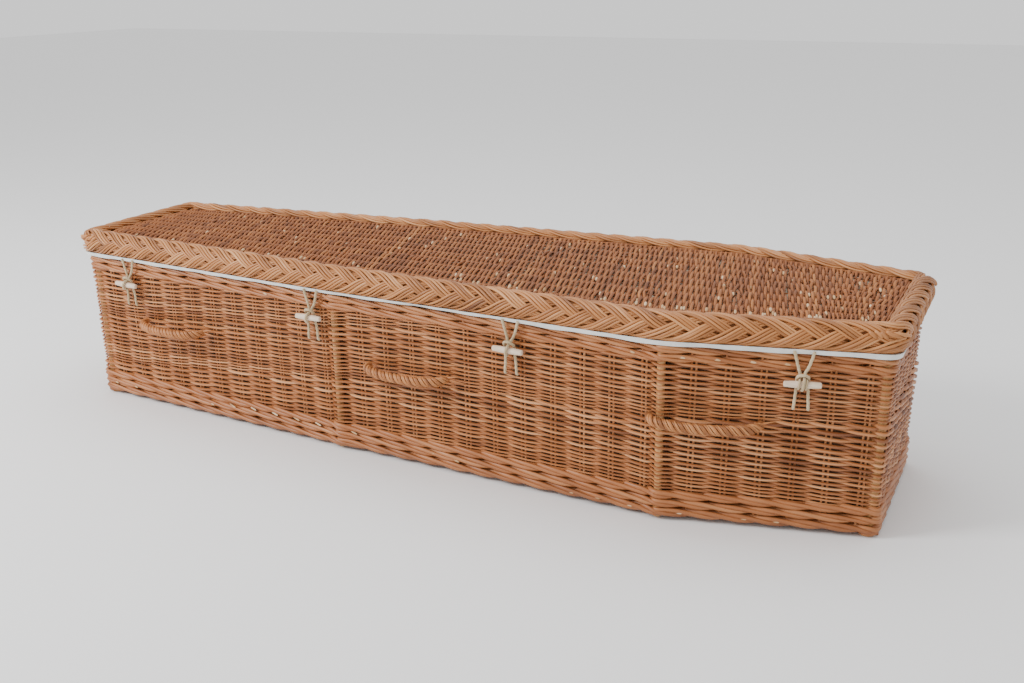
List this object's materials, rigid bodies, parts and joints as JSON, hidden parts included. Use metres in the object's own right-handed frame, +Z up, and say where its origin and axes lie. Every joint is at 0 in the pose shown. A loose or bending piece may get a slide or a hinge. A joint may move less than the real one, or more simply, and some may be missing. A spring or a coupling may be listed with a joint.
{
  "type": "willow coffin",
  "caption": "Woven willow coffin with a tapered plan, plaited lid border, roped carrying handles, wooden toggles and a cotton lining.",
  "frame": {"origin": "on the floor, under the middle of the length and of the width", "axes": "+X from the foot end to the head end, +Z up, -Y towards the long side that the picture shows"},
  "size_m": [1.934, 0.6522, 0.4171],
  "materials": {
    "willow_weave": "buff willow rods, closely woven, satin",
    "willow_plait": "buff willow rods in a thick plait, satin",
    "willow_lid_weave": "buff willow rods woven across lengthwise sticks, satin",
    "willow_post": "thick peeled willow posts, yellower than the weave",
    "willow_handle": "thin willow rods twisted into a rope",
    "toggle_wood": "pale peeled wood with cut ends, dry and matt",
    "cotton_cord": "unbleached twisted cord",
    "cotton_cloth": "natural cotton, matt"
  },
  "bodies": {
    "root": {"woven_base": "willow_weave", "woven_sides": "willow_weave", "lid_border": "willow_plait", "lid_panel": "willow_lid_weave", "basket_lining": "cotton_cloth", "lid_lining": "cotton_cloth", "corner_post_foot_front": "willow_post", "corner_post_head_front": "willow_post", "middle_post_front": "willow_post", "shoulder_post_front": "willow_post", "handle_front_1": "willow_handle", "handle_front_2": "willow_handle", "handle_front_3": "willow_handle", "toggle_front_1": "toggle_wood", "toggle_front_2": "toggle_wood", "toggle_front_3": "toggle_wood", "toggle_front_4": "toggle_wood", "lid_cord_front_1": "cotton_cord", "lid_cord_front_2": "cotton_cord", "lid_cord_front_3": "cotton_cord", "lid_cord_front_4": "cotton_cord", "wall_loop_front_1": "cotton_cord", "wall_loop_front_2": "cotton_cord", "wall_loop_front_3": "cotton_cord", "wall_loop_front_4": "cotton_cord", "corner_post_foot_back": "willow_post", "corner_post_head_back": "willow_post", "middle_post_back": "willow_post", "shoulder_post_back": "willow_post", "handle_back_1": "willow_handle", "handle_back_2": "willow_handle", "handle_back_3": "willow_handle", "toggle_back_1": "toggle_wood", "toggle_back_2": "toggle_wood", "toggle_back_3": "toggle_wood", "toggle_back_4": "toggle_wood", "lid_cord_back_1": "cotton_cord", "lid_cord_back_2": "cotton_cord", "lid_cord_back_3": "cotton_cord", "lid_cord_back_4": "cotton_cord", "wall_loop_back_1": "cotton_cord", "wall_loop_back_2": "cotton_cord", "wall_loop_back_3": "cotton_cord", "wall_loop_back_4": "cotton_cord"}
  },
  "joints": []
}
